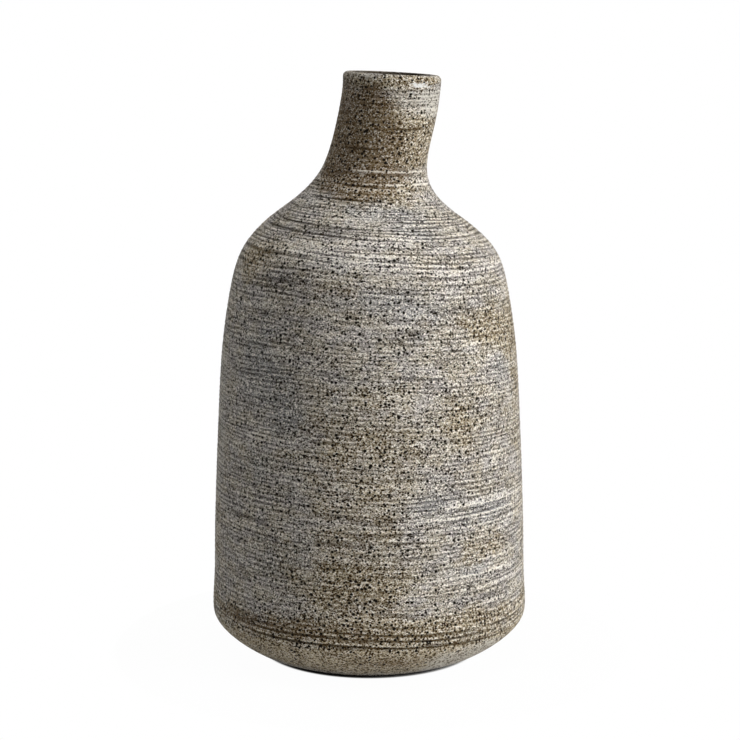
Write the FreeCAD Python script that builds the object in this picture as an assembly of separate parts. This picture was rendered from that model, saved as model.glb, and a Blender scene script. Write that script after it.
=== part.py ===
import FreeCAD, Part
import math
import os

# A stoneware bottle vase in millimetres, +Z up.
# The origin is on the surface that it stands on, under the middle of the body.
# +X is the side that the neck leans to.

# Felt pad glued under the foot
pad_thickness = 1.2
pad_inset = 2.0

# Body: a flat foot, a wide bevel, the belly and a slowly narrowing wall
foot_radius = 50.0
belly_rise = 21.8
belly_radius = 71.4
wall_rise = 142.0
shoulder_radius = 62.1

# Shoulder and neck, each rise measured up from the end of the one below
shoulder_rise = 52.0
neck_rise = 43.2
neck_radius = 21.6

# The push that leaned the soft neck over, and the slant of its mouth
neck_push = 10.1
mouth_tilt_degrees = 2.9

# Thickness of the clay, and the rounding of its corners
floor_thickness = 8.0
floor_round = 16.0
body_wall = 5.0
neck_wall = 4.0
lip_outer_round = 2.2
lip_inner_round = 0.5

# The turned surfaces are bands: how far one may leave the smooth outline, and how far that may turn within it
outer_band_error = 0.3
outer_band_turn_degrees = 9.0
inner_band_error = 0.9
inner_band_turn_degrees = 30.0
round_steps = 3

# How far the hollow runs out of the mouth, so that it cuts cleanly
overrun = 3.0

# Points of the outline between its named sizes, each a pair of shares.
# Bevel: the way out from foot to belly, the way up the belly rise
bevel_shares = ((0.162, 0.08), (0.346, 0.175), (0.552, 0.31), (0.727, 0.45), (0.867, 0.59), (0.983, 0.79))
# Wall: the way in from belly to shoulder, the way up the wall rise
wall_shares = ((0.07, 0.08), (0.118, 0.2), (0.199, 0.366), (0.376, 0.61), (0.661, 0.86))
# Shoulder: the way in from shoulder to neck, the way up the shoulder rise
shoulder_shares = (
    (0.057, 0.19), (0.131, 0.33), (0.254, 0.46), (0.444, 0.596), (0.673, 0.73), (0.849, 0.865), (0.948, 1.0)
)
# Neck: the radius as a share of the neck's, the way up from the shoulder to the lip
neck_shares = ((1.021, 0.18), (1.001, 0.38), (1.002, 0.61), (0.998, 0.85), (1.0, 1.0))
# Where on the shoulder rise the clay starts to tip, and where it starts to move aside
tilt_start_share = 0.11
push_start_share = 0.64

# Heights that follow from the rises
foot_height = pad_thickness
belly_height = foot_height + belly_rise
shoulder_height = belly_height + wall_rise
neck_height = shoulder_height + shoulder_rise
mouth_height = neck_height + neck_rise
floor_height = foot_height + floor_thickness


def between(low, high, share):
    return low + (high - low) * share


def smooth_share(height, start, end):
    """0 below the start, 1 above the end, and an even curve between them."""
    share = min(max((height - start) / (end - start), 0.0), 1.0)
    return share * share * (3.0 - 2.0 * share)


def bevel_points():
    """Outline from the foot's edge to just under the belly, as pairs of radius and height."""
    points = [(foot_radius, foot_height)]
    for out_share, up_share in bevel_shares:
        radius = between(foot_radius, belly_radius, out_share)
        points.append((radius, between(foot_height, belly_height, up_share)))
    return points


def wall_points():
    """Outline from the belly to where the lip starts to round."""
    points = [(belly_radius, belly_height)]
    for in_share, up_share in wall_shares:
        radius = between(belly_radius, shoulder_radius, in_share)
        points.append((radius, between(belly_height, shoulder_height, up_share)))
    points.append((shoulder_radius, shoulder_height))
    for in_share, up_share in shoulder_shares:
        radius = between(shoulder_radius, neck_radius, in_share)
        points.append((radius, between(shoulder_height, neck_height, up_share)))
    lip_height = mouth_height - lip_outer_round
    for radius_share, up_share in neck_shares:
        points.append((neck_radius * radius_share, between(neck_height, lip_height, up_share)))
    return points


def clay_thickness(height):
    """The wall thins evenly over the shoulder, from the body's to the neck's."""
    share = min(max((height - shoulder_height) / shoulder_rise, 0.0), 1.0)
    return between(body_wall, neck_wall, share)


def inner_wall_points():
    """The wall's points moved in, further where the wall slopes, so that the clay stays even."""
    outer = wall_points()
    last = len(outer) - 1
    inner = []
    for index, (radius, height) in enumerate(outer):
        low_radius, low_height = outer[max(index - 1, 0)]
        high_radius, high_height = outer[min(index + 1, last)]
        slope = (high_radius - low_radius) / (high_height - low_height)
        inner.append((radius - clay_thickness(height) * math.hypot(1.0, slope), height))
    return inner


def smooth_places(points, error, turn_degrees):
    """Places along a smooth curve through the points, closer together where it turns."""
    curve = Part.BSplineCurve()
    curve.interpolate([FreeCAD.Vector(radius, 0, height) for radius, height in points])
    places = curve.toShape().discretize(Angular=math.radians(turn_degrees), Curvature=error)
    return [(place.x, place.z) for place in places]


def round_places(centre_radius, centre_height, size, first_degrees, last_degrees):
    """Places along an arc of the outline, after its first one."""
    places = []
    for step in range(1, round_steps + 1):
        turn = math.radians(between(first_degrees, last_degrees, step / round_steps))
        places.append((centre_radius + size * math.cos(turn), centre_height + size * math.sin(turn)))
    return places


def ring(radius, height):
    """One turned circle, moved aside and tipped as far as the clay was at that height."""
    push_start = between(shoulder_height, neck_height, push_start_share)
    tilt_start = between(shoulder_height, neck_height, tilt_start_share)
    aside = neck_push * smooth_share(height, push_start, mouth_height)
    tilt = mouth_tilt_degrees * smooth_share(height, tilt_start, neck_height)
    circle = Part.Wire(Part.makeCircle(radius))
    place = FreeCAD.Vector(aside, 0, height)
    circle.Placement = FreeCAD.Placement(place, FreeCAD.Rotation(FreeCAD.Vector(0, 1, 0), tilt))
    return circle


def pushed_solid(places):
    """A closed solid of bands between the turned circles."""
    return Part.makeLoft([ring(radius, height) for radius, height in places], True, True)


def outer_form():
    """The outside of the clay, from the flat foot to the flat top of the lip."""
    places = smooth_places(bevel_points() + wall_points(), outer_band_error, outer_band_turn_degrees)
    radius, height = places[-1]
    places += round_places(radius - lip_outer_round, height, lip_outer_round, 0.0, 90.0)
    return pushed_solid(places)


def hollow():
    """The room inside, from its flat floor up and out through the mouth."""
    points = inner_wall_points()
    wall_radius = points[0][0]
    corner_radius = wall_radius - floor_round
    corner_height = floor_height + floor_round
    places = [(corner_radius, floor_height)]
    places += round_places(corner_radius, corner_height, floor_round, -90.0, 0.0)

    lip_height = mouth_height - lip_inner_round
    wall = [(wall_radius, corner_height)]
    wall += [(radius, height) for radius, height in points if corner_height < height < lip_height]
    mouth_radius = points[-1][0]
    places += smooth_places(wall, inner_band_error, inner_band_turn_degrees)[1:]
    places.append((mouth_radius, lip_height))
    places += round_places(mouth_radius + lip_inner_round, lip_height, lip_inner_round, 180.0, 90.0)
    places.append((places[-1][0], mouth_height + overrun))
    return pushed_solid(places)


def stoneware_bottle():
    return outer_form().cut(hollow())


def felt_base_pad():
    return Part.makeCylinder(foot_radius - pad_inset, pad_thickness)


def main():
    os.makedirs("parts", exist_ok=True)
    pieces = {"stoneware_bottle": stoneware_bottle(), "felt_base_pad": felt_base_pad()}
    for name, shape in pieces.items():
        print(name, "valid:", shape.isValid())
        shape.exportStep("parts/" + name + ".step")


main()
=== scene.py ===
import math

import bpy
import numpy as np
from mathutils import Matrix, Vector


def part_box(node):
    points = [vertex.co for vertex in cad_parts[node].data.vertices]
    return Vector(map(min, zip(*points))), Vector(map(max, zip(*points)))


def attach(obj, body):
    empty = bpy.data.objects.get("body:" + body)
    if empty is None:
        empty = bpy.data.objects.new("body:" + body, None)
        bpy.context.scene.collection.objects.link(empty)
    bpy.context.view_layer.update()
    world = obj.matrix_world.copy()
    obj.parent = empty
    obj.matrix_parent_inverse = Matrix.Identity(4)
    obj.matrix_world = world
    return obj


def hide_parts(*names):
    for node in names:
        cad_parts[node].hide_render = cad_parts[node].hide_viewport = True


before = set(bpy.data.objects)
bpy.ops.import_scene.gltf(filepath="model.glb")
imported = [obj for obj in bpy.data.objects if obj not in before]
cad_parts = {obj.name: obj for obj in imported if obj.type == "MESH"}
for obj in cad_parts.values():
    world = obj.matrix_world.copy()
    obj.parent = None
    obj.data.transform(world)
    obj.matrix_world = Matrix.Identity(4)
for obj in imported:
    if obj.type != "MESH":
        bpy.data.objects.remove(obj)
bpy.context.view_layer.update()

# A glazed stoneware bottle on a thin felt disc, in metres, +Z up.
# The neck leans to +X, and the camera looks along +Y.

# Places that the frame gives: the foot, and the widest radius less a little room for the curve to swell
pot_low, pot_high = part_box("stoneware_bottle")
felt_low, felt_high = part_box("felt_base_pad")
foot_height = pot_low.z
outline_room = 0.00004
belly_radius = pot_high.y - outline_room

# Outline of the pot, from the foot up
foot_radius = 0.050
foot_edge_round = 0.0008
belly_rise = 0.0218
wall_rise = 0.142
shoulder_radius = 0.0621
shoulder_rise = 0.052
neck_rise = 0.0432
neck_radius = 0.0216
lip_outer_round = 0.0022
lip_inner_round = 0.0005
body_wall = 0.005
neck_wall = 0.004
floor_thickness = 0.008
floor_round = 0.016

# The push that leaned the soft neck over
neck_push = 0.0101
mouth_tilt = math.radians(2.9)
tilt_start_share = 0.11
push_start_share = 0.64

# Points of the outline between its named sizes, as shares of the way out or in and of the way up
bevel_shares = ((0.162, 0.08), (0.346, 0.175), (0.552, 0.31), (0.727, 0.45), (0.867, 0.59), (0.983, 0.79))
wall_shares = ((0.07, 0.08), (0.118, 0.2), (0.199, 0.366), (0.376, 0.61), (0.661, 0.86))
shoulder_shares = (
    (0.057, 0.19), (0.131, 0.33), (0.254, 0.46), (0.444, 0.596), (0.673, 0.73), (0.849, 0.865), (0.948, 1.0)
)
neck_shares = ((1.021, 0.18), (1.001, 0.38), (1.002, 0.61), (0.998, 0.85), (1.0, 1.0))

# How closely the pot is covered with points: round it, up the turned wall, inside and in each rounding.
# Points nearer to each other than the last size are joined
columns = 96
turned_step = 0.00032
inner_step = 0.005
round_steps = 6
merge_distance = 1e-6

# Turned rings: their pitch, how far one runs before it fades, how they wander, and the depth of a plain one
ring_pitch = 0.00188
ring_run = 0.030
ring_wander = 0.0012
wander_run = 0.050
ring_depth = 0.00020
ring_grain = 0.0008

# The rings slant down towards +X, more so higher on the body, and level out into the neck
foot_slant = 0.03
shoulder_slant = 0.07
slant_height = 0.185
slant_end = 0.212

# Bands of deeper or fainter rings: the two heights of a band, and its share of the plain depth
ring_band_shares = (
    (0.000, 0.018, 0.0), (0.020, 0.027, 1.4), (0.030, 0.064, 1.1), (0.067, 0.084, 1.3),
    (0.088, 0.150, 1.15), (0.154, 0.174, 1.2), (0.178, 0.189, 1.5), (0.191, 0.202, 1.5),
    (0.205, 0.216, 1.2), (0.222, 0.238, 0.5), (0.243, 0.254, 0.9), (0.257, 0.300, 0.1),
)

# Single raised and cut lines: height, middle and half of the reach round the pot in degrees, and rise
finger_lines = (
    (0.2190, 22.0, 62.0, 0.00045), (0.2134, 30.0, 50.0, 0.00040), (0.2113, -5.0, 48.0, 0.00028),
    (0.2126, -14.0, 20.0, -0.00028), (0.2377, 24.0, 26.0, -0.00030), (0.2070, -32.0, 30.0, -0.00028),
    (0.0806, 50.0, 30.0, 0.00026), (0.0758, 44.0, 32.0, 0.00030), (0.0713, 46.0, 30.0, 0.00024),
    (0.1862, -34.0, 52.0, 0.00020), (0.1838, -12.0, 76.0, 0.00020), (0.1814, 12.0, 76.0, 0.00020),
    (0.1926, -40.0, 40.0, -0.00026), (0.1960, -34.0, 40.0, -0.00024),
    (0.0206, 5.0, 64.0, -0.00034), (0.0236, -4.0, 56.0, -0.00030), (0.0264, 30.0, 50.0, -0.00022),
    (0.1062, -42.0, 13.0, 0.00022), (0.1043, -42.0, 14.0, 0.00024), (0.1024, -40.0, 12.0, 0.00020),
    (0.2285, -24.0, 26.0, -0.00020), (0.2302, -12.0, 22.0, 0.00018), (0.2465, 44.0, 34.0, 0.00018),
    (0.0500, 30.0, 30.0, 0.00026), (0.0560, 52.0, 24.0, 0.00020), (0.0440, 56.0, 24.0, 0.00020),
)

# Half the width of a line, and the rise from which it takes on a colour of its own
line_half_width = 0.0007
line_rise = 0.00011

# Grains of the glaze, each a width across and a height
lilac_grain = (0.011, 0.006)
fine_grain = (0.00042, 0.00037)
pool_and_highlight_grain = (0.0014, 0.0009)

# How far a grain stands out, and the height up to which the bevel is smooth
grain_rise = 0.00014
smooth_bevel_height = 0.0185

# Kinds of speck: the cell that holds one at most, its radius as a share of the cell, the share of the
# cells that hold one, what earthy, blue and pale clouds add to that share, and a seed for their places
speck_kinds = {
    "small": ((0.00116, 0.00102), 0.38, 0.68, (0.24, -0.14, -0.25), 5.0),
    "large": ((0.0020, 0.0018), 0.33, 0.40, (0.46, -0.12, -0.30), 29.0),
}

# Width of a speck's stained rim, and where its soft edge starts and ends, as shares of its cell
speck_rim_share = 0.26
speck_edge_shares = (0.03, -0.04)

# Kinds of cloud: the grain of its uneven edge, how readily it shows where none is placed, a seed for its
# noise, its colour, and the share of the glaze's own colour that it covers
cloud_kinds = {
    "blue": ((0.018, 0.009), 0.10, 3.0, (0.226, 0.222, 0.220, 1.0), 0.85),
    "tan": ((0.015, 0.010), 0.12, 11.0, (0.345, 0.294, 0.200, 1.0), 0.85),
    "pale": ((0.014, 0.008), 0.0, 23.0, (0.48, 0.46, 0.41, 1.0), 0.75),
    "brown": ((0.008, 0.007), -0.15, 17.0, (0.122, 0.078, 0.037, 1.0), 0.72),
}

# Colours of the glaze, its specks and the felt
warm_glaze = (0.340, 0.304, 0.246, 1.0)
lilac_glaze = (0.306, 0.282, 0.263, 1.0)
# Bright grains, partly a painted highlight on the ridges
bright_grain_and_ridge_highlight = (0.87, 0.83, 0.75, 1.0)
# Pale glaze of the raised lines, partly painted light on them
raised_glaze_and_ridge_light = (0.66, 0.62, 0.54, 1.0)
cold_iron = (0.017, 0.013, 0.008, 1.0)
rusty_iron = (0.030, 0.016, 0.004, 1.0)
iron_stain = (0.170, 0.108, 0.042, 1.0)
black_iron = (0.006, 0.004, 0.002, 1.0)
# Whitish pooled glaze, partly a painted highlight
pooled_glaze_and_highlight = (0.68, 0.67, 0.64, 1.0)
# Dark inside of the pot, partly a darker lining and partly painted shade
lining_and_painted_shade = (0.040, 0.028, 0.017, 1.0)
# Black felt, whose edge also makes the dark line under the foot as painted shadow
felt_and_shadow_black = (0.010, 0.010, 0.011, 1.0)
felt_and_shadow_grey = (0.05, 0.05, 0.053, 1.0)

# Clouds in the glaze, placed one by one: degrees round the pot from the camera's side towards +X, height,
# half their reach in degrees and in height, and strength
blue_clouds = (
    (22.0, 0.163, 13.0, 0.009, 0.6), (4.0, 0.168, 16.0, 0.006, 0.6), (-46.0, 0.139, 15.0, 0.016, 0.9),
    (-32.0, 0.118, 12.0, 0.015, 0.6), (-42.0, 0.095, 10.0, 0.009, 0.6), (49.0, 0.074, 16.0, 0.007, 0.8),
    (22.0, 0.079, 12.0, 0.012, 0.6), (60.0, 0.136, 10.0, 0.012, 0.7), (2.0, 0.131, 9.0, 0.006, 0.6),
    (-30.0, 0.058, 14.0, 0.012, 0.5), (34.0, 0.051, 14.0, 0.006, 0.6), (10.0, 0.2035, 40.0, 0.005, 0.8),
    (30.0, 0.194, 26.0, 0.005, 0.6), (-20.0, 0.184, 30.0, 0.005, 0.5), (-66.0, 0.244, 24.0, 0.016, 1.0),
    (42.0, 0.2536, 24.0, 0.0014, 1.5), (30.0, 0.2480, 24.0, 0.0050, 0.5), (60.0, 0.214, 20.0, 0.003, 0.3),
    (0.0, 0.004, 90.0, 0.0028, 0.7),
)
tan_clouds = (
    (-61.0, 0.181, 14.0, 0.008, 1.0), (47.0, 0.155, 22.0, 0.008, 0.6), (-8.0, 0.114, 18.0, 0.024, 0.50),
    (-6.0, 0.075, 19.0, 0.024, 0.50), (-6.0, 0.045, 22.0, 0.015, 0.7), (44.0, 0.058, 15.0, 0.007, 0.6),
    (38.0, 0.115, 20.0, 0.018, 0.5), (10.0, 0.0275, 80.0, 0.006, 0.8), (6.0, 0.0125, 62.0, 0.005, 1.4),
    (-22.0, 0.172, 20.0, 0.007, 0.4), (42.0, 0.2275, 22.0, 0.006, 1.2), (62.0, 0.2370, 16.0, 0.003, 1.0),
    (6.0, 0.2110, 60.0, 0.006, 0.6), (-10.0, 0.257, 50.0, 0.003, 0.9), (42.0, 0.2582, 40.0, 0.0014, 1.0),
    (75.0, 0.125, 12.0, 0.050, 0.5), (66.0, 0.150, 16.0, 0.009, 0.9), (-78.0, 0.060, 14.0, 0.030, 0.5),
    (0.0, 0.236, 300.0, 0.015, 0.8), (0.0, 0.012, 300.0, 0.012, 0.6),
)
brown_clouds = (
    (-18.0, 0.250, 15.0, 0.008, 0.7), (-30.0, 0.240, 26.0, 0.013, 1.4), (-38.0, 0.225, 28.0, 0.011, 1.4),
    (4.0, 0.232, 26.0, 0.007, 0.7), (-16.0, 0.2145, 24.0, 0.005, 0.8), (-60.0, 0.180, 13.0, 0.006, 0.7),
    (-9.0, 0.058, 15.0, 0.018, 0.45), (-16.0, 0.104, 13.0, 0.018, 0.40), (-20.0, 0.026, 60.0, 0.006, 0.8),
    # The brown cloud at -70 degrees on the neck is partly painted shade on the neck's darker left side
    (0.0, 0.240, 300.0, 0.014, 0.40), (5.0, 0.2190, 70.0, 0.008, 0.9), (-70.0, 0.240, 24.0, 0.020, 1.3),
    (-45.0, 0.020, 24.0, 0.012, 0.2), (9.0, 0.0125, 26.0, 0.0040, 0.8), (-25.0, 0.128, 11.0, 0.016, 0.35),
    (-34.0, 0.070, 12.0, 0.016, 0.30), (-8.0, 0.2100, 36.0, 0.006, 0.8),
)
pale_clouds = (
    (8.0, 0.196, 50.0, 0.006, 0.3), (-36.0, 0.2585, 16.0, 0.0020, 0.9), (74.0, 0.247, 18.0, 0.010, 0.5),
    # The pale cloud at 44 degrees on the bevel is painted light, where light from the floor falls from below
    (38.0, 0.2490, 32.0, 0.0060, 0.85), (44.0, 0.0100, 18.0, 0.0070, 1.4), (60.0, 0.100, 30.0, 0.060, 0.12),
    (-80.0, 0.100, 12.0, 0.080, 0.75), (52.0, 0.0060, 26.0, 0.0035, 1.0),
)
# Pools of glaze on the lip, whose whitish colour is partly a painted highlight
glaze_pools_and_highlights = (
    (26.0, 0.2560, 8.0, 0.0012, 0.72), (36.0, 0.2564, 8.0, 0.0013, 0.62), (48.0, 0.2558, 7.0, 0.0010, 0.55),
)

# Felt disc
felt_radius = felt_high.x
felt_step = 0.0011
felt_edge_round = 0.0005
felt_fuzz = 0.00009
felt_grain = (0.0006, 0.0003)

# Floor: half its side, then distances from the middle. The whole shadow shows up to the first of them,
# a trace of it from the second to the third, and none past the fourth
floor_half = 6.0
shadow_reach = 0.0484
shadow_end = 0.0502
white_start = 0.06
white_end = 0.12

# Lamps: degrees round the pot and above it, width, and watts. World: strength of its light on the pot
lamp_distance = 1.5
lamps = {
    "key": (67.0, 24.0, 0.9, 24.3),
    "top": (0.0, 88.0, 1.0, 14.2),
    "rim": (-115.0, 12.0, 0.6, 2.1),
}
world_light = 0.036

# Camera, with its lens and sensor in millimetres and its fall in degrees
camera_place = (0.00037, -0.900, 0.290)
camera_fall = 10.204
camera_lens = 98.93
camera_sensor = 36.0

# Heights that follow
belly_height = foot_height + belly_rise
shoulder_height = belly_height + wall_rise
neck_height = shoulder_height + shoulder_rise
mouth_height = neck_height + neck_rise
floor_height = foot_height + floor_thickness


def between(low, high, share):
    return low + (high - low) * share


# Outlines, as rows of radius and height

def banded(height, bands):
    """The share that holds at a height, eased from band to band."""
    edges = [edge for low, high, _ in bands for edge in (low, high)]
    shares = [share for _, _, share in bands for _ in range(2)]
    return float(np.interp(height, edges, shares))


def smooth_line(points, step):
    """Even places on the natural cubic curve through the points, the first and the last among them."""
    points = np.array(points)
    lengths = np.linalg.norm(np.diff(points, axis=0), axis=1)
    along = np.concatenate([[0.0], np.cumsum(lengths)])
    count = len(points)
    system = np.eye(count)
    right = np.zeros((count, 2))
    for i in range(1, count - 1):
        before, after = lengths[i - 1], lengths[i]
        system[i, i - 1:i + 2] = before, 2.0 * (before + after), after
        right[i] = 6.0 * ((points[i + 1] - points[i]) / after - (points[i] - points[i - 1]) / before)
    bends = np.linalg.solve(system, right)
    places = []
    for t in np.linspace(0.0, along[-1], max(2, round(along[-1] / step) + 1)):
        i = min(int(np.searchsorted(along, t, side="right")) - 1, count - 2)
        size = lengths[i]
        low, high = (along[i + 1] - t) / size, (t - along[i]) / size
        cubic = ((low ** 3 - low) * bends[i] + (high ** 3 - high) * bends[i + 1]) * size * size / 6.0
        places.append(low * points[i] + high * points[i + 1] + cubic)
    return [tuple(place) for place in places]


def arc(centre_radius, centre_height, size, first_degrees, last_degrees):
    """Places along an arc, its ends among them."""
    places = []
    for i in range(round_steps + 1):
        turn = math.radians(between(first_degrees, last_degrees, i / round_steps))
        places.append((centre_radius + size * math.cos(turn), centre_height + size * math.sin(turn)))
    return places


def bevel_points():
    points = [(foot_radius, foot_height + foot_edge_round)]
    for out_share, up_share in bevel_shares:
        radius = between(foot_radius, belly_radius, out_share)
        points.append((radius, between(foot_height, belly_height, up_share)))
    return points


def wall_points():
    points = [(belly_radius, belly_height)]
    for in_share, up_share in wall_shares:
        radius = between(belly_radius, shoulder_radius, in_share)
        points.append((radius, between(belly_height, shoulder_height, up_share)))
    points.append((shoulder_radius, shoulder_height))
    for in_share, up_share in shoulder_shares:
        radius = between(shoulder_radius, neck_radius, in_share)
        points.append((radius, between(shoulder_height, neck_height, up_share)))
    for radius_share, up_share in neck_shares:
        height = between(neck_height, mouth_height - lip_outer_round, up_share)
        points.append((neck_radius * radius_share, height))
    return points


def inner_points():
    """The wall moved in by the clay's thickness, from the mouth down to the rounding of the floor."""
    outer = wall_points()
    inner = []
    for i, (radius, height) in enumerate(outer):
        low = outer[max(i - 1, 0)]
        high = outer[min(i + 1, len(outer) - 1)]
        slope = (high[0] - low[0]) / (high[1] - low[1])
        thin_share = min(max((height - shoulder_height) / shoulder_rise, 0.0), 1.0)
        wall = between(body_wall, neck_wall, thin_share)
        if floor_height + floor_round < height < mouth_height - lip_inner_round:
            inner.append((radius - wall * math.hypot(1.0, slope), height))
    return inner[::-1]


def pot_outline():
    """Rows from the middle of the foot, up the outside, over the lip and down to the floor's middle."""
    under = [(0.0, foot_height), (foot_radius - foot_edge_round, foot_height)]
    outside = smooth_line(bevel_points() + wall_points(), turned_step)
    lip_radius = outside[-1][0] - lip_outer_round
    over = arc(lip_radius, mouth_height - lip_outer_round, lip_outer_round, 0.0, 90.0)[1:]
    mouth_radius = neck_radius - neck_wall
    edge_radius, edge_height = mouth_radius + lip_inner_round, mouth_height - lip_inner_round
    inside_edge = arc(edge_radius, edge_height, lip_inner_round, 90.0, 180.0)
    wall = smooth_line([inside_edge[-1]] + inner_points(), inner_step)[1:]
    corner_radius = belly_radius - body_wall - floor_round
    corner = arc(corner_radius, floor_height + floor_round, floor_round, 0.0, -90.0)
    return under + outside + over + inside_edge + wall + corner + [(0.0, floor_height)]


def felt_outline():
    low, high = felt_low.z, felt_high.z
    inner = felt_radius - felt_edge_round
    steps = round(inner / felt_step)
    under = [(inner * i / steps, low) for i in range(steps)]
    edge = arc(inner, low + felt_edge_round, felt_edge_round, -90.0, 0.0)
    edge += arc(inner, high - felt_edge_round, felt_edge_round, 0.0, 90.0)
    over = [(inner * i / steps, high) for i in range(steps)]
    return under + edge + over[::-1]


# Short calls for node trees

class Nodes:
    """A node tree, and the few kinds of node that this file puts in it."""

    def __init__(self, tree):
        self.tree = tree

    def put(self, socket, value):
        if isinstance(value, bpy.types.NodeSocket):
            self.tree.links.new(value, socket)
        else:
            socket.default_value = value

    def add(self, kind, inputs=None, **settings):
        node = self.tree.nodes.new(kind)
        for name, value in settings.items():
            setattr(node, name, value)
        for name, value in (inputs or {}).items():
            self.put(node.inputs[name], value)
        return node

    def maths(self, operation, *values):
        node = self.add("ShaderNodeMath", operation=operation)
        for socket, value in zip(node.inputs, values):
            self.put(socket, value)
        return node.outputs[0]

    def vector_maths(self, operation, *values):
        node = self.add("ShaderNodeVectorMath", operation=operation)
        for socket, value in zip(node.inputs, values):
            self.put(socket, value)
        return node.outputs[0]

    def vector(self, x, y, z):
        return self.add("ShaderNodeCombineXYZ", {"X": x, "Y": y, "Z": z}).outputs[0]

    def parts(self, vector):
        return self.add("ShaderNodeSeparateXYZ", {0: vector}).outputs

    def ramp(self, value, low, high, to_low=0.0, to_high=1.0, smooth=True):
        """The value's way from low to high as a share, clamped, or as its way between two other values."""
        node = self.add("ShaderNodeMapRange", {"Value": value, "From Min": low, "From Max": high})
        self.put(node.inputs["To Min"], to_low)
        self.put(node.inputs["To Max"], to_high)
        node.interpolation_type = "SMOOTHSTEP" if smooth else "LINEAR"
        return node.outputs[0]

    def mix_value(self, share, first, second):
        node = self.add("ShaderNodeMix", data_type="FLOAT")
        sockets = {socket.identifier: socket for socket in node.inputs}
        self.put(sockets["Factor_Float"], share)
        self.put(sockets["A_Float"], first)
        self.put(sockets["B_Float"], second)
        return next(socket for socket in node.outputs if socket.identifier == "Result_Float")

    def noise(self, vector, detail=0.0, roughness=0.5):
        inputs = {"Vector": vector, "Scale": 1.0, "Detail": detail, "Roughness": roughness}
        return self.add("ShaderNodeTexNoise", inputs).outputs[0]

    def stretched(self, vector, grain, seed=0.0):
        """The place counted in grains that are so wide across and so high, moved by a seed."""
        across, up = grain
        counted = self.vector_maths("MULTIPLY", vector, (1.0 / across, 1.0 / across, 1.0 / up))
        return self.vector_maths("ADD", counted, (seed, seed, seed))

    def mix(self, share, first, second, blend="MIX"):
        node = self.add("ShaderNodeMix", data_type="RGBA", blend_type=blend)
        sockets = {socket.identifier: socket for socket in node.inputs}
        self.put(sockets["Factor_Float"], share)
        self.put(sockets["A_Color"], first)
        self.put(sockets["B_Color"], second)
        return next(socket for socket in node.outputs if socket.identifier == "Result_Color")


# The tree that turns an outline into a pot, pushes it over and cuts the rings

def read_attribute(nodes, name, kind):
    return nodes.add("GeometryNodeInputNamedAttribute", {"Name": name}, data_type=kind).outputs[0]


def store_attribute(nodes, geometry, name, value, kind):
    inputs = {"Geometry": geometry, "Name": name, "Value": value}
    node = nodes.add("GeometryNodeStoreNamedAttribute", inputs, data_type=kind, domain="POINT")
    return node.outputs[0]


def sampled(nodes, outline, row, name, kind):
    """An attribute of the outline's points, read for each row."""
    sample = nodes.add("GeometryNodeSampleIndex", data_type=kind, domain="POINT")
    nodes.put(sample.inputs["Geometry"], outline)
    nodes.put(sample.inputs["Value"], read_attribute(nodes, name, kind))
    nodes.put(sample.inputs["Index"], row)
    return sample.outputs[0]


def turned_grid(nodes, outline, column_count):
    """A grid with a row for each outline point, with its depth, its way along the outline and its place."""
    rows = nodes.add("GeometryNodeAttributeDomainSize", {"Geometry": outline}).outputs["Point Count"]
    around = nodes.maths("ADD", column_count, 1.0)
    grid = nodes.add("GeometryNodeMeshGrid", {"Vertices X": rows, "Vertices Y": around})
    index = nodes.add("GeometryNodeInputIndex").outputs[0]
    row = nodes.maths("FLOOR", nodes.maths("DIVIDE", index, around))
    column = nodes.maths("SUBTRACT", index, nodes.maths("MULTIPLY", row, around))
    angle = nodes.maths("DIVIDE", nodes.maths("MULTIPLY", column, math.tau), column_count)
    radius, _, height = nodes.parts(sampled(nodes, outline, row, "place", "FLOAT_VECTOR"))
    x = nodes.maths("MULTIPLY", radius, nodes.maths("COSINE", angle))
    y = nodes.maths("MULTIPLY", radius, nodes.maths("SINE", angle))
    mesh = grid.outputs["Mesh"]
    for name in ("depth", "along"):
        mesh = store_attribute(nodes, mesh, name, sampled(nodes, outline, row, name, "FLOAT"), "FLOAT")
    place = nodes.vector(x, y, height)
    return store_attribute(nodes, mesh, "wheel_place", place, "FLOAT_VECTOR"), place


def pushed_place(nodes, place, sizes):
    """Where a place on the wheel lies once the soft clay is pushed over and its mouth is tipped."""
    x, y, height = nodes.parts(place)
    push = nodes.ramp(height, sizes["Push Start"], sizes["Mouth Height"], 0.0, sizes["Neck Push"])
    tilt = nodes.ramp(height, sizes["Tilt Start"], sizes["Neck Height"], 0.0, sizes["Mouth Tilt"])
    across = nodes.maths("MULTIPLY", x, nodes.maths("COSINE", tilt))
    drop = nodes.maths("MULTIPLY", x, nodes.maths("SINE", tilt))
    return nodes.vector(nodes.maths("ADD", across, push), y, nodes.maths("SUBTRACT", height, drop))


def ring_offset(nodes, place):
    """How far the ring through a place is raised above its level by slant and wander."""
    x, _, height = nodes.parts(place)
    slant = nodes.ramp(height, 0.0, slant_height, foot_slant, shoulder_slant)
    slant = nodes.maths("MULTIPLY", slant, nodes.ramp(height, slant_height, slant_end, 1.0, 0.0))
    wander = nodes.maths("SUBTRACT", nodes.noise(nodes.stretched(place, (wander_run, wander_run))), 0.5)
    wander = nodes.maths("MULTIPLY", wander, 2.0 * ring_wander)
    return nodes.maths("MULTIPLY_ADD", x, slant, wander)


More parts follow.
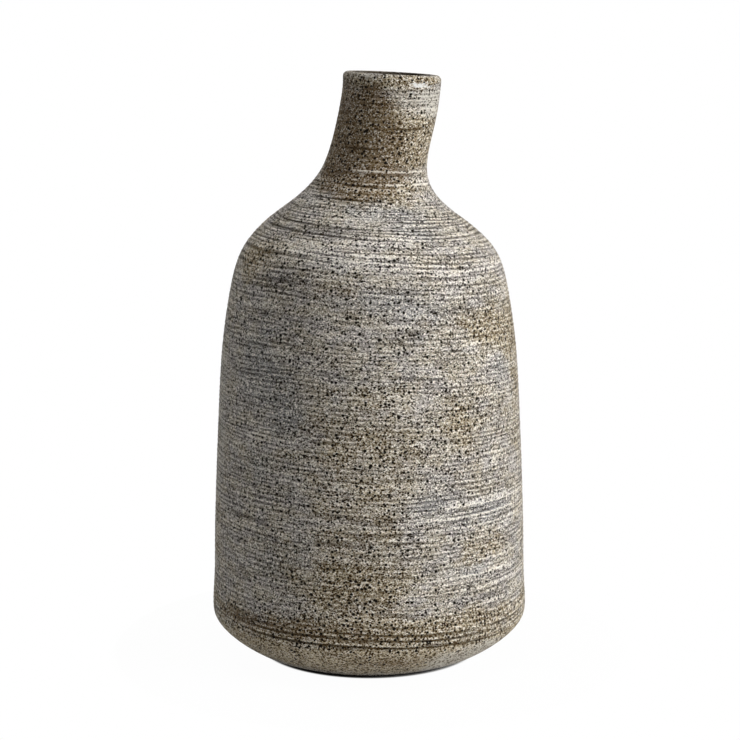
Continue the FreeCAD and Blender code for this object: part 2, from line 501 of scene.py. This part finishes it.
def turned_rings(nodes, place, along, pitch, run, grain):
    """Even rings that come and go, mixed with uneven ones, from 0 in a groove to 1 on a ridge."""
    x, y, _ = nodes.parts(place)

    def ring_noise(across, up, detail):
        sizes = ((x, across), (y, across), (along, up))
        counted = [nodes.maths("DIVIDE", value, size) for value, size in sizes]
        return nodes.noise(nodes.vector(*counted), detail)

    drift = nodes.maths("MULTIPLY", ring_noise(wander_run, 6.0 * ring_pitch, 0.0), 2.0 * math.tau)
    turn = nodes.maths("MULTIPLY_ADD", nodes.maths("DIVIDE", along, pitch), math.tau, drift)
    even = nodes.maths("POWER", nodes.maths("MULTIPLY_ADD", nodes.maths("COSINE", turn), 0.5, 0.5), 1.5)
    strength = nodes.ramp(ring_noise(run, 3.0 * ring_pitch, 1.0), 0.36, 0.62)
    uneven = nodes.ramp(ring_noise(run, grain, 2.0), 0.3, 0.7)
    return nodes.mix_value(nodes.maths("MULTIPLY", strength, 0.7), uneven, even)


def finger_line(nodes, place, level, height, middle, half_reach, rise):
    """A soft ridge or groove at one height, fading towards its two ends."""
    x, y, _ = nodes.parts(place)
    angle = nodes.maths("ARCTAN2", x, nodes.maths("MULTIPLY", y, -1.0))
    off_middle = nodes.maths("ABSOLUTE", nodes.maths("SUBTRACT", angle, math.radians(middle)))
    reach = nodes.ramp(off_middle, math.radians(half_reach), math.radians(0.6 * half_reach))
    off_line = nodes.maths("ABSOLUTE", nodes.maths("SUBTRACT", level, height))
    return nodes.maths("MULTIPLY", nodes.ramp(off_line, line_half_width, 0.0, 0.0, rise), reach)


def turning_tree():
    tree = bpy.data.node_groups.new("turned_and_pushed", "GeometryNodeTree")
    tree.interface.new_socket("Geometry", in_out="INPUT", socket_type="NodeSocketGeometry")
    tree.interface.new_socket("Columns", in_out="INPUT", socket_type="NodeSocketInt")
    for name in (
        "Neck Push", "Mouth Tilt", "Push Start", "Tilt Start", "Neck Height", "Mouth Height",
        "Ring Pitch", "Ring Run", "Ring Grain", "Line Share",
    ):
        tree.interface.new_socket(name, in_out="INPUT", socket_type="NodeSocketFloat")
    tree.interface.new_socket("Finish", in_out="INPUT", socket_type="NodeSocketMaterial")
    tree.interface.new_socket("Geometry", in_out="OUTPUT", socket_type="NodeSocketGeometry")
    nodes = Nodes(tree)
    given = nodes.add("NodeGroupInput").outputs
    mesh, place = turned_grid(nodes, given["Geometry"], given["Columns"])
    moved = nodes.add("GeometryNodeSetPosition", {"Geometry": mesh})
    nodes.put(moved.inputs["Position"], pushed_place(nodes, place, given))
    joined = {"Geometry": moved.outputs[0], "Distance": merge_distance}
    merged = nodes.add("GeometryNodeMergeByDistance", joined)
    merged = nodes.add("GeometryNodeFlipFaces", {"Mesh": merged.outputs[0]})
    place = read_attribute(nodes, "wheel_place", "FLOAT_VECTOR")
    offset = ring_offset(nodes, place)
    along = nodes.maths("ADD", read_attribute(nodes, "along", "FLOAT"), offset)
    ring = turned_rings(nodes, place, along, given["Ring Pitch"], given["Ring Run"], given["Ring Grain"])
    mesh = store_attribute(nodes, merged.outputs[0], "ring", ring, "FLOAT")
    level = nodes.maths("ADD", nodes.parts(place)[2], offset)
    raised = 0.0
    for line in finger_lines:
        raised = nodes.maths("ADD", raised, finger_line(nodes, place, level, *line))
    raised = nodes.maths("MULTIPLY", raised, given["Line Share"])
    mesh = store_attribute(nodes, mesh, "line", raised, "FLOAT")
    lowered = nodes.maths("SUBTRACT", read_attribute(nodes, "ring", "FLOAT"), 1.0)
    cut = nodes.maths("MULTIPLY", lowered, read_attribute(nodes, "depth", "FLOAT"))
    cut = nodes.maths("ADD", cut, read_attribute(nodes, "line", "FLOAT"))
    normal = nodes.add("GeometryNodeInputNormal").outputs[0]
    offset = nodes.add("ShaderNodeVectorMath", {0: normal, "Scale": cut}, operation="SCALE").outputs[0]
    carved = nodes.add("GeometryNodeSetPosition", {"Geometry": mesh, "Offset": offset})
    smooth = nodes.add("GeometryNodeSetShadeSmooth", {"Geometry": carved.outputs[0]})
    real = nodes.add("GeometryNodeRealizeInstances", {"Geometry": smooth.outputs[0]})
    covered = {"Geometry": real.outputs[0], "Material": given["Finish"]}
    finished = nodes.add("GeometryNodeSetMaterial", covered)
    result = nodes.add("NodeGroupOutput")
    nodes.put(result.inputs["Geometry"], finished.outputs[0])
    return tree


def turned_piece(name, outline, depths, tree, sizes):
    """The outline turned by the tree, as a plain closed mesh."""
    mesh = bpy.data.meshes.new(name + "_outline")
    places = [(radius, 0.0, height) for radius, height in outline]
    mesh.from_pydata(places, [(i, i + 1) for i in range(len(places) - 1)], [])
    steps = np.linalg.norm(np.diff(np.array(places), axis=0), axis=1)
    along = np.concatenate([[0.0], np.cumsum(steps)])
    flat_places = np.array(places).ravel()
    mesh.attributes.new("place", "FLOAT_VECTOR", "POINT").data.foreach_set("vector", flat_places)
    mesh.attributes.new("along", "FLOAT", "POINT").data.foreach_set("value", along)
    mesh.attributes.new("depth", "FLOAT", "POINT").data.foreach_set("value", depths)
    holder = bpy.data.objects.new(name + "_outline", mesh)
    bpy.context.scene.collection.objects.link(holder)
    modifier = holder.modifiers.new("turn", "NODES")
    modifier.node_group = tree
    for item in tree.interface.items_tree:
        if item.in_out == "INPUT" and item.name in sizes:
            modifier[item.identifier] = sizes[item.name]
    evaluated = holder.evaluated_get(bpy.context.evaluated_depsgraph_get())
    plain = bpy.data.meshes.new_from_object(evaluated)
    plain.name = name
    bpy.data.objects.remove(holder)
    piece = bpy.data.objects.new(name, plain)
    bpy.context.scene.collection.objects.link(piece)
    return piece


# Finishes

def new_finish(name):
    finish = bpy.data.materials.new(name)
    finish.use_nodes = True
    finish.node_tree.nodes.clear()
    nodes = Nodes(finish.node_tree)
    shader = nodes.add("ShaderNodeBsdfPrincipled")
    output = nodes.add("ShaderNodeOutputMaterial")
    nodes.put(output.inputs["Surface"], shader.outputs[0])
    return finish, nodes, shader


def cloud_strengths(places, clouds):
    """For each place on the wheel, how strongly the clouds cover it."""
    angles = np.degrees(np.arctan2(places[:, 0], -places[:, 1]))
    total = np.zeros(len(places))
    for middle, height, half_angle, half_height, strength in clouds:
        off = ((angles - middle) / half_angle) ** 2 + ((places[:, 2] - height) / half_height) ** 2
        total += strength * np.exp(-off)
    return total


def cover_with_clouds(mesh):
    places = np.zeros(len(mesh.vertices) * 3)
    mesh.attributes["wheel_place"].data.foreach_get("vector", places)
    places = places.reshape(-1, 3)
    named = {
        "blue": blue_clouds, "tan": tan_clouds, "brown": brown_clouds, "pale": pale_clouds,
        "pool_and_highlight": glaze_pools_and_highlights,
    }
    for name, clouds in named.items():
        values = cloud_strengths(places, clouds)
        mesh.attributes.new(name, "FLOAT", "POINT").data.foreach_set("value", values)


def attribute(nodes, name, socket="Fac"):
    return nodes.add("ShaderNodeAttribute", attribute_name=name).outputs[socket]


def shaded(nodes, colour, share):
    """The colour made darker or lighter by a share."""
    return nodes.mix(1.0, colour, nodes.vector(share, share, share), "MULTIPLY")


def cloud_mask(nodes, place, name):
    """How far a kind of cloud covers the glaze: where it is placed, with an uneven edge, and a little
    elsewhere."""
    grain, base, seed, _, _ = cloud_kinds[name]
    uneven = nodes.noise(nodes.stretched(place, grain, seed), 3.0, 0.6)
    uneven = nodes.maths("MULTIPLY_ADD", uneven, 1.6, base - 0.8)
    return nodes.ramp(nodes.maths("ADD", attribute(nodes, name), uneven), 0.20, 0.95)


def speck_chance(nodes, name, masks, earthy):
    """The share of the cells that hold a speck of this kind, more in some clouds than in others."""
    _, _, plain_share, (earthy_share, blue_share, pale_share), _ = speck_kinds[name]
    chance = nodes.maths("MULTIPLY_ADD", masks["blue"], blue_share, plain_share)
    chance = nodes.maths("MULTIPLY_ADD", earthy, earthy_share, chance)
    return nodes.maths("MULTIPLY_ADD", masks["pale"], pale_share, chance)


def specks(nodes, place, name, chance):
    """Masks of round specks of a kind, and of their stained rims."""
    cell, radius_share, _, _, seed = speck_kinds[name]
    cells = nodes.add("ShaderNodeTexVoronoi", {"Vector": nodes.stretched(place, cell, seed), "Scale": 1.0})
    luck, other_luck, _ = nodes.parts(cells.outputs["Color"])
    uneven = nodes.ramp(other_luck, 0.0, 1.0, 0.65, 1.15, smooth=False)
    radius = nodes.maths("MULTIPLY", radius_share, uneven)
    off = nodes.maths("SUBTRACT", cells.outputs["Distance"], radius)
    held = nodes.maths("LESS_THAN", luck, chance)
    spot = nodes.maths("MULTIPLY", nodes.ramp(off, *speck_edge_shares), held)
    rim = nodes.maths("MULTIPLY", nodes.ramp(off, speck_rim_share, 0.0), held)
    return spot, rim


def crest_of(nodes):
    """How far the turning stands out, from below 0 in a groove to above 0 on a ridge."""
    depth_share = nodes.maths("DIVIDE", attribute(nodes, "depth"), ring_depth)
    ring = nodes.maths("SUBTRACT", attribute(nodes, "ring"), 0.4)
    line = nodes.maths("DIVIDE", attribute(nodes, "line"), 1.2 * ring_depth)
    return nodes.maths("ADD", nodes.maths("MULTIPLY", ring, depth_share), line)


def glaze_ground(nodes, place, masks, crest, bevel):
    """The glaze's colour under its grains and specks, with painted light on the ridges and painted shade in
    the grooves, partly the glaze thinning on the ridges, and painted light on the smooth bevel.
    """
    lilac = nodes.ramp(nodes.noise(nodes.stretched(place, lilac_grain), 2.0), 0.40, 0.62)
    ground = nodes.mix(lilac, warm_glaze, lilac_glaze)
    for name, (_, _, _, colour, cover) in cloud_kinds.items():
        ground = nodes.mix(nodes.maths("MULTIPLY", masks[name], cover), ground, colour)
    # Painted light on the ridges and painted shade in the grooves, partly the glaze thinning on the ridges
    ground = shaded(nodes, ground, nodes.ramp(crest, -0.8, 0.9, 0.46, 1.54, smooth=False))
    # Painted light on the smooth bevel, where light from the floor falls from below
    return shaded(nodes, ground, nodes.maths("MULTIPLY_ADD", bevel, 0.25, 1.0))


def with_grains(nodes, ground, masks, crest, bevel, luck, tone, iron):
    """Fine grains of uneven tone, some bright and some of iron, calmer in the pale glaze and on the bevel.
    Bright ones are more and iron ones fewer on the ridges, partly painted highlight and shade.
    """
    calm_bevel = nodes.maths("MULTIPLY", bevel, 0.3)
    calm = nodes.maths("MAXIMUM", calm_bevel, nodes.maths("MULTIPLY", masks["pale"], 0.7))
    even = nodes.ramp(tone, 0.0, 1.0, 0.40, 1.60, smooth=False)
    ground = shaded(nodes, ground, nodes.mix_value(calm, even, 1.0))
    # Bright grains are likelier on the ridges and iron grains in the grooves: partly painted highlight and
    # shade, partly glaze thinning on the ridges
    chance = nodes.maths("MULTIPLY_ADD", crest, 0.34, luck)
    light = nodes.maths("MULTIPLY", nodes.ramp(chance, 0.84, 0.86), nodes.maths("SUBTRACT", 1.0, calm))
    light = nodes.maths("MULTIPLY", light, nodes.maths("MULTIPLY_ADD", masks["brown"], -0.4, 1.0))
    ground = nodes.mix(light, ground, bright_grain_and_ridge_highlight)
    return nodes.mix(nodes.ramp(chance, 0.13, 0.10), ground, iron)


def with_lines(nodes, ground, tone, iron):
    """Pale glaze on the raised lines and iron in the cut ones, broken up by the grains: partly painted light
    on the ridges and painted shade in the grooves.
    """
    line = attribute(nodes, "line")
    broken = nodes.ramp(tone, 0.0, 0.6, 0.35, 1.0)
    for rise, colour in ((line_rise, raised_glaze_and_ridge_light), (-line_rise, iron)):
        cover = nodes.maths("MULTIPLY", nodes.ramp(line, rise, 3.0 * rise, 0.0, 0.65), broken)
        ground = nodes.mix(cover, ground, colour)
    return ground


def with_specks(nodes, place, ground, masks, bevel, earthy, iron):
    """Small stained specks, and large black ones that are fewer on the bevel. Also gives the small ones'
    mask."""
    small, rim = specks(nodes, place, "small", speck_chance(nodes, "small", masks, earthy))
    stain = nodes.maths("MULTIPLY", rim, nodes.maths("MULTIPLY_ADD", earthy, 0.60, 0.15))
    ground = nodes.mix(stain, ground, iron_stain)
    ground = nodes.mix(small, ground, iron)
    chance = speck_chance(nodes, "large", masks, earthy)
    chance = nodes.maths("MULTIPLY", chance, nodes.maths("MULTIPLY_ADD", bevel, -0.6, 1.0))
    large, _ = specks(nodes, place, "large", chance)
    return nodes.mix(large, ground, black_iron), small


def wet_pool_and_highlight(nodes, place):
    """Where the glaze has pooled and is shiny, with an uneven edge. Its whitish colour there is partly a
    painted highlight.
    """
    wet = nodes.noise(nodes.stretched(place, pool_and_highlight_grain), 2.0)
    wet = nodes.maths("MULTIPLY_ADD", wet, 3.4, -0.7)
    return nodes.ramp(nodes.maths("MULTIPLY", attribute(nodes, "pool_and_highlight"), wet), 0.30, 0.75)


def glaze_finish(lip_along):
    """The speckled glaze. Past the lip, at the given way along the outline, it turns to a dark lining that is
    partly painted shade inside the neck.
    """
    finish, nodes, shader = new_finish("speckled_glaze")
    place = attribute(nodes, "wheel_place", "Vector")
    height = nodes.parts(place)[2]
    crest = crest_of(nodes)
    bevel = nodes.ramp(height, smooth_bevel_height + 2.0 * line_half_width, smooth_bevel_height)
    masks = {name: cloud_mask(nodes, place, name) for name in cloud_kinds}
    earthy = nodes.maths("MAXIMUM", masks["tan"], masks["brown"])
    iron = nodes.mix(earthy, cold_iron, rusty_iron)
    grains = nodes.add("ShaderNodeTexVoronoi", {"Vector": nodes.stretched(place, fine_grain), "Scale": 1.0})
    luck, tone, _ = nodes.parts(grains.outputs["Color"])

    colour = glaze_ground(nodes, place, masks, crest, bevel)
    colour = with_grains(nodes, colour, masks, crest, bevel, luck, tone, iron)
    colour = with_lines(nodes, colour, tone, iron)
    colour, small = with_specks(nodes, place, colour, masks, bevel, earthy, iron)
    drop = wet_pool_and_highlight(nodes, place)
    # The pool's whitish colour is partly a painted highlight; its coat gives the real shine
    colour = nodes.mix(drop, colour, pooled_glaze_and_highlight)
    # Inside the lip the glaze darkens to the lining, partly painted shade inside the neck
    lining = nodes.ramp(attribute(nodes, "along"), lip_along, lip_along + lip_inner_round)
    colour = nodes.mix(nodes.maths("MULTIPLY", lining, 0.85), colour, lining_and_painted_shade)

    nodes.put(shader.inputs["Base Color"], colour)
    nodes.put(shader.inputs["Roughness"], nodes.ramp(tone, 0.0, 1.0, 0.55, 0.85, smooth=False))
    nodes.put(shader.inputs["Specular IOR Level"], 0.08)
    nodes.put(shader.inputs["Coat Weight"], drop)
    nodes.put(shader.inputs["Coat Roughness"], 0.22)
    rise = nodes.maths("MULTIPLY_ADD", small, -0.8, luck)
    bump = nodes.add("ShaderNodeBump", {"Height": rise, "Strength": 0.75, "Distance": grain_rise})
    nodes.put(shader.inputs["Normal"], bump.outputs[0])
    return finish


def felt_and_shadow_finish():
    # Black felt; its dark edge is also the painted shadow under the foot
    finish, nodes, shader = new_finish("black_felt_and_shadow")
    place = nodes.add("ShaderNodeTexCoord").outputs["Object"]
    fibres = nodes.noise(nodes.stretched(place, felt_grain), 3.0)
    nodes.put(shader.inputs["Base Color"], nodes.mix(fibres, felt_and_shadow_black, felt_and_shadow_grey))
    nodes.put(shader.inputs["Roughness"], 0.95)
    return finish


# Pieces

def turning_sizes(push, grain, finish):
    """The tree's inputs. The push is 1 for the pot, with its lean and lines, and 0 for the flat felt."""
    return {
        "Columns": columns, "Finish": finish, "Line Share": push,
        "Neck Push": neck_push * push, "Mouth Tilt": mouth_tilt * push,
        "Push Start": between(shoulder_height, neck_height, push_start_share),
        "Tilt Start": between(shoulder_height, neck_height, tilt_start_share),
        "Neck Height": neck_height, "Mouth Height": mouth_height,
        "Ring Pitch": ring_pitch, "Ring Run": ring_run, "Ring Grain": grain,
    }


def glazed_bottle(tree):
    outline = pot_outline()
    outside = next(i for i, (_, height) in enumerate(outline) if height >= mouth_height)
    depths = [ring_depth * banded(height, ring_band_shares) for _, height in outline[:outside]]
    depths += [0.0] * (len(outline) - outside)
    lip_along = float(np.linalg.norm(np.diff(np.array(outline[:outside + 2]), axis=0), axis=1).sum())
    finish = glaze_finish(lip_along)
    piece = turned_piece("glazed_bottle", outline, depths, tree, turning_sizes(1.0, ring_grain, finish))
    cover_with_clouds(piece.data)
    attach(piece, "root")
    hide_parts("stoneware_bottle")
    return piece


def felt_disc(tree):
    outline = felt_outline()
    depths = [felt_fuzz] * len(outline)
    piece = turned_piece("felt_disc", outline, depths, tree, turning_sizes(0.0, felt_step, felt_and_shadow_finish()))
    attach(piece, "root")
    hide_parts("felt_base_pad")
    return piece


# Stage

def make_floor():
    """A white floor that keeps the shadow round the foot and turns to plain white further out."""
    mesh = bpy.data.meshes.new("floor")
    corners = [(x * floor_half, y * floor_half, 0.0) for x, y in ((-1, -1), (1, -1), (1, 1), (-1, 1))]
    mesh.from_pydata(corners, [], [(0, 1, 2, 3)])
    floor = bpy.data.objects.new("floor", mesh)
    bpy.context.scene.collection.objects.link(floor)
    paint = bpy.data.materials.new("floor_paint")
    paint.use_nodes = True
    paint.node_tree.nodes.clear()
    nodes = Nodes(paint.node_tree)
    matt = nodes.add("ShaderNodeBsdfDiffuse", {"Color": (0.8, 0.8, 0.8, 1.0)})
    glow = nodes.add("ShaderNodeEmission", {"Color": (1.0, 1.0, 1.0, 1.0), "Strength": 1.0})
    path = nodes.add("ShaderNodeLightPath")
    place = nodes.add("ShaderNodeTexCoord").outputs["Object"]
    off = nodes.add("ShaderNodeVectorMath", {0: place}, operation="LENGTH").outputs["Value"]
    seen = nodes.maths("MAXIMUM", path.outputs["Is Camera Ray"], path.outputs["Is Glossy Ray"])
    near = nodes.ramp(off, shadow_reach, shadow_end, 0.0, 0.98)
    white = nodes.maths("MAXIMUM", near, nodes.ramp(off, white_start, white_end))
    share = nodes.maths("MULTIPLY", seen, white)
    both = nodes.add("ShaderNodeMixShader", {0: share})
    nodes.put(both.inputs[1], matt.outputs[0])
    nodes.put(both.inputs[2], glow.outputs[0])
    output = nodes.add("ShaderNodeOutputMaterial")
    nodes.put(output.inputs["Surface"], both.outputs[0])
    mesh.materials.append(paint)


def make_world(strength):
    world = bpy.data.worlds.new("studio")
    bpy.context.scene.world = world
    world.use_nodes = True
    world.node_tree.nodes.clear()
    nodes = Nodes(world.node_tree)
    path = nodes.add("ShaderNodeLightPath")
    light = nodes.add("ShaderNodeBackground", {"Color": (1.0, 1.0, 1.0, 1.0), "Strength": strength})
    white = nodes.add("ShaderNodeBackground", {"Color": (1.0, 1.0, 1.0, 1.0), "Strength": 1.0})
    both = nodes.add("ShaderNodeMixShader", {0: path.outputs["Is Camera Ray"]})
    nodes.put(both.inputs[1], light.outputs[0])
    nodes.put(both.inputs[2], white.outputs[0])
    output = nodes.add("ShaderNodeOutputWorld")
    nodes.put(output.inputs["Surface"], both.outputs[0])


def make_lamp(name, azimuth, elevation, size, power):
    """A square lamp that points at the middle of the pot. Azimuth 0 is at the camera's side, 90 at +X."""
    data = bpy.data.lights.new(name, "AREA")
    data.shape = "SQUARE"
    data.size = size
    data.energy = power
    lamp = bpy.data.objects.new(name, data)
    turn, rise = math.radians(azimuth), math.radians(elevation)
    out = Vector((math.sin(turn) * math.cos(rise), -math.cos(turn) * math.cos(rise), math.sin(rise)))
    lamp.location = Vector((0.0, 0.0, mouth_height / 2.0)) + out * lamp_distance
    lamp.rotation_euler = out.to_track_quat("Z", "Y").to_euler()
    bpy.context.scene.collection.objects.link(lamp)


def make_camera():
    data = bpy.data.cameras.new("camera")
    data.lens = camera_lens
    data.sensor_width = camera_sensor
    camera = bpy.data.objects.new("camera", data)
    camera.location = camera_place
    camera.rotation_euler = (math.radians(90.0 - camera_fall), 0.0, 0.0)
    bpy.context.scene.collection.objects.link(camera)
    bpy.context.scene.camera = camera


def main():
    bpy.context.scene.view_settings.view_transform = "Standard"
    make_camera()
    make_floor()
    make_world(world_light)
    for name, lamp in lamps.items():
        make_lamp(name, *lamp)
    tree = turning_tree()
    bottle = glazed_bottle(tree)
    felt_disc(tree)


main()
